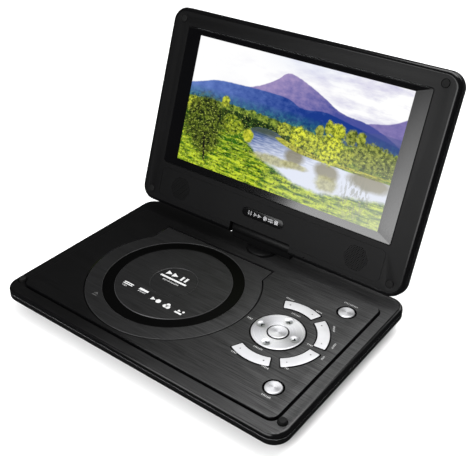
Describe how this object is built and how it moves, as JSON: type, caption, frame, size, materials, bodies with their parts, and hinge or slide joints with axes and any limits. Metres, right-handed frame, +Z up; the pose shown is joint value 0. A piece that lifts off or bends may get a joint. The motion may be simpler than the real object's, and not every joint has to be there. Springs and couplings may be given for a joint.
{
  "type": "portable dvd player",
  "caption": "Portable disc player: a flat base with a hinged disc cover, a round key pad and side sockets, and a wide screen lid that tilts and swivels on a central hinge.",
  "frame": {"origin": "on the underside, in the middle between the sides", "axes": "+X to the right, +Y to the hinge at the back, +Z up"},
  "size_m": [0.2656, 0.2293, 0.1925],
  "materials": {
    "satin_black": "satin black moulded plastic",
    "brushed_black": "black with fine brushed lines running left to right",
    "gloss_black": "gloss black",
    "display": "gloss black cover over a lit screen",
    "rubber": "matt black",
    "steel": "plain",
    "panel": "light guide in a thin metal frame",
    "battery": "shrink wrap",
    "board": "circuit board",
    "dark_plastic": "matt",
    "lens": "coated lens",
    "silver": "silver plated, brushed round"
  },
  "bodies": {
    "base": {"bottom_case": "satin_black", "battery_cover": "satin_black", "top_case": "brushed_black", "deck_panel": "brushed_black", "foot_front_left": "rubber", "foot_front_right": "rubber", "foot_rear_left": "rubber", "foot_rear_right": "rubber", "base_bumper_left": "rubber", "base_bumper_right": "rubber", "battery_screw_front": "steel", "battery_screw_rear": "steel", "loader_chassis": "steel", "guide_rod_front": "steel", "guide_rod_rear": "steel", "spindle_motor": "steel", "sled_motor": "steel", "battery_pack": "battery", "main_board": "board", "key_board": "board", "dc_socket": "dark_plastic", "av_socket": "dark_plastic", "headphone_socket_front": "dark_plastic", "headphone_socket_rear": "dark_plastic", "disc_well": "dark_plastic"},
    "swivel": {"swivel_bracket": "satin_black", "swivel_retainer": "steel", "hinge_barrel": "gloss_black", "tilt_pin_left": "steel", "tilt_pin_right": "steel"},
    "lid": {"lid_bezel": "satin_black", "lid_back": "gloss_black", "display_window": "display", "lcd_panel": "panel", "display_board": "board", "speaker_left": "dark_plastic", "speaker_right": "dark_plastic", "lid_badge": "gloss_black", "lid_bumper_top_left": "rubber", "lid_bumper_top_right": "rubber", "lid_bumper_low_left": "rubber", "lid_bumper_low_right": "rubber"},
    "cover": {"disc_cover": "brushed_black", "cover_liner": "dark_plastic"},
    "ejector": {"cover_ejector": "dark_plastic"},
    "spindle": {"disc_spindle": "dark_plastic"},
    "sled": {"pickup_sled": "dark_plastic"},
    "lens": {"pickup_lens": "lens"},
    "screw": {"lead_screw": "steel"},
    "power": {"power_switch": "dark_plastic"},
    "volume": {"volume_wheel": "dark_plastic"},
    "nav_ring_body": {"nav_ring": "silver"},
    "select_button_body": {"select_button": "silver"},
    "key_rear_body": {"key_rear": "silver"},
    "key_right_rear_body": {"key_right_rear": "silver"},
    "key_right_front_body": {"key_right_front": "silver"},
    "key_front_body": {"key_front": "silver"},
    "round_key_rear_body": {"round_key_rear": "silver"},
    "round_key_front_body": {"round_key_front": "silver"}
  },
  "joints": [
    {"name": "lid_swivel", "type": "hinge", "parent": "base", "child": "swivel", "pos_m": [0, 0.0834, 0.02], "axis": [0, 0, 1], "range_deg": [-180, 0]},
    {"name": "lid_tilt", "type": "hinge", "parent": "swivel", "child": "lid", "pos_m": [0, 0.0834, 0.03135], "axis": [-1, 0, 0], "range_deg": [-109.5, 70.5]},
    {"name": "cover_hinge", "type": "hinge", "parent": "base", "child": "cover", "pos_m": [-0.0279, 0.0571, 0.0204], "axis": [-1, 0, 0], "range_deg": [0, 50]},
    {"name": "ejector_press", "type": "slide", "parent": "base", "child": "ejector", "axis": [0, 0, -1], "range_m": [0, 0.002], "stiffness_N_per_m": 300, "springref_m": -0.001},
    {"name": "disc_spin", "type": "hinge", "parent": "base", "child": "spindle", "pos_m": [-0.0264, -0.0007, 0.0148], "axis": [0, 0, 1], "continuous": true},
    {"name": "sled_slide", "type": "slide", "parent": "base", "child": "sled", "axis": [1, 0, 0], "range_m": [0, 0.033]},
    {"name": "lens_focus", "type": "slide", "parent": "sled", "child": "lens", "axis": [0, 0, 1], "range_m": [-0.0004, 0.0004], "stiffness_N_per_m": 50},
    {"name": "screw_spin", "type": "hinge", "parent": "base", "child": "screw", "pos_m": [-0.022, -0.0292, 0.0078], "axis": [1, 0, 0], "range_deg": [0, 1980]},
    {"name": "power_slide", "type": "slide", "parent": "base", "child": "power", "axis": [0, 1, 0], "range_m": [0, 0.004]},
    {"name": "volume_turn", "type": "hinge", "parent": "base", "child": "volume", "pos_m": [-0.1256, 0.035, 0.0117], "axis": [0, 0, 1], "range_deg": [-140, 140]},
    {"name": "nav_ring_press", "type": "slide", "parent": "base", "child": "nav_ring_body", "axis": [0, 0, -1], "range_m": [0, 0.0005], "stiffness_N_per_m": 800, "springref_m": -0.0005},
    {"name": "select_button_press", "type": "slide", "parent": "base", "child": "select_button_body", "axis": [0, 0, -1], "range_m": [0, 0.0005], "stiffness_N_per_m": 800, "springref_m": -0.0005},
    {"name": "key_rear_press", "type": "slide", "parent": "base", "child": "key_rear_body", "axis": [0, 0, -1], "range_m": [0, 0.0005], "stiffness_N_per_m": 800, "springref_m": -0.0005},
    {"name": "key_right_rear_press", "type": "slide", "parent": "base", "child": "key_right_rear_body", "axis": [0, 0, -1], "range_m": [0, 0.0005], "stiffness_N_per_m": 800, "springref_m": -0.0005},
    {"name": "key_right_front_press", "type": "slide", "parent": "base", "child": "key_right_front_body", "axis": [0, 0, -1], "range_m": [0, 0.0005], "stiffness_N_per_m": 800, "springref_m": -0.0005},
    {"name": "key_front_press", "type": "slide", "parent": "base", "child": "key_front_body", "axis": [0, 0, -1], "range_m": [0, 0.0005], "stiffness_N_per_m": 800, "springref_m": -0.0005},
    {"name": "round_key_rear_press", "type": "slide", "parent": "base", "child": "round_key_rear_body", "axis": [0, 0, -1], "range_m": [0, 0.0005], "stiffness_N_per_m": 800, "springref_m": -0.0005},
    {"name": "round_key_front_press", "type": "slide", "parent": "base", "child": "round_key_front_body", "axis": [0, 0, -1], "range_m": [0, 0.0005], "stiffness_N_per_m": 800, "springref_m": -0.0005}
  ],
  "couplings": [
    {"joint": "screw_spin", "follows": "sled_slide", "rad_per_m": 1047.2}
  ]
}
